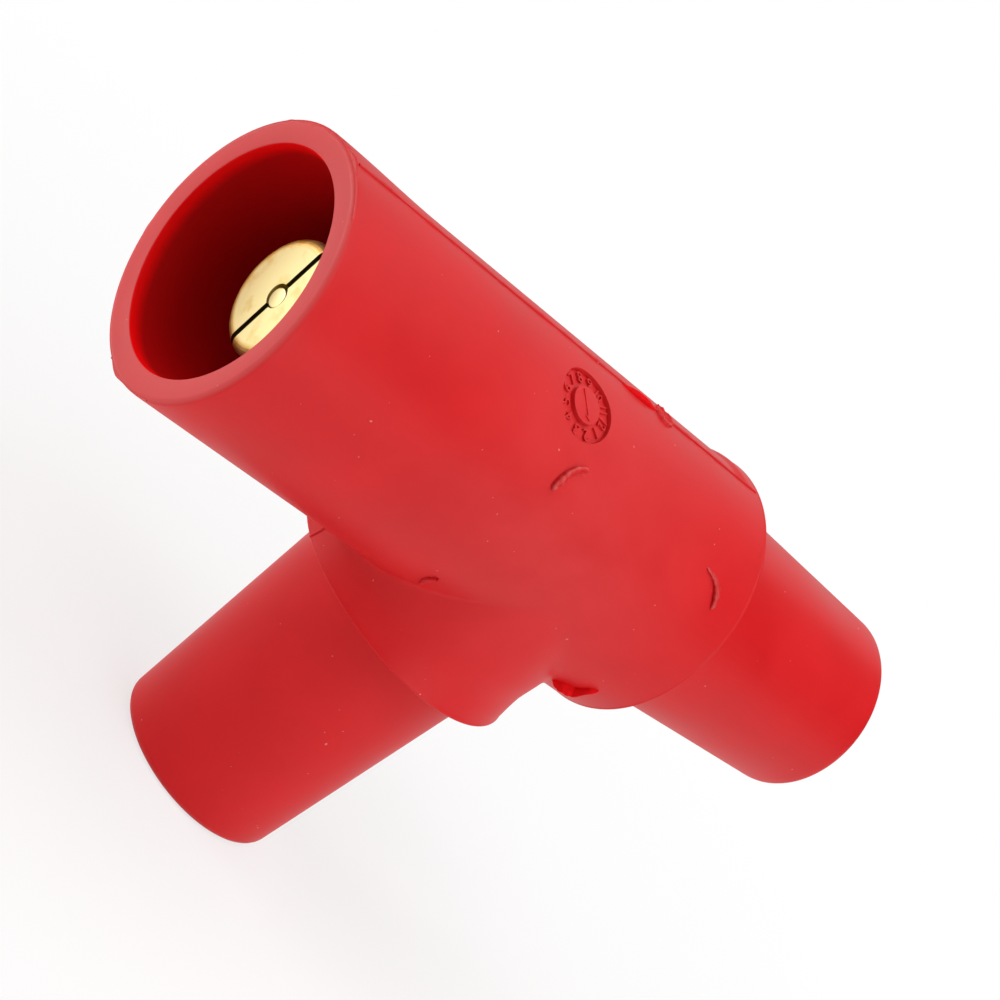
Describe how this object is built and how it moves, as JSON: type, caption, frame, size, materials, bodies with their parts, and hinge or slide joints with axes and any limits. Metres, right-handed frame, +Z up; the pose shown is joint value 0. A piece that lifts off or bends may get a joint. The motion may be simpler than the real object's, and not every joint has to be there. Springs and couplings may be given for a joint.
{
  "type": "single pole cam lock tapping tee",
  "caption": "Three-way power connector tee: a sleeve with a split brass pin in line with a tapered socket nose, and a second socket nose on a right-angle branch, in one moulded rubber body.",
  "frame": {"origin": "centre of the branch nose's end face, which the tee stands on", "axes": "+Z up along the branch axis, +X along the run from the male mouth to the run nose, -Y to the front, the side with the moulding marks"},
  "size_m": [0.129, 0.042, 0.0866],
  "materials": {
    "moulded_elastomer": "satin moulded red elastomer",
    "turned_brass": "turned and lightly polished",
    "ground_steel": "ground"
  },
  "bodies": {
    "root": {"insulating_body": "moulded_elastomer", "male_contact": "turned_brass", "expander_pin": "turned_brass", "junction_block": "turned_brass", "run_socket": "turned_brass", "branch_socket": "turned_brass", "run_cam_pin": "ground_steel", "branch_cam_pin": "ground_steel", "male_lock_pin": "ground_steel", "run_lock_pin": "ground_steel", "branch_lock_pin": "ground_steel"}
  },
  "joints": []
}
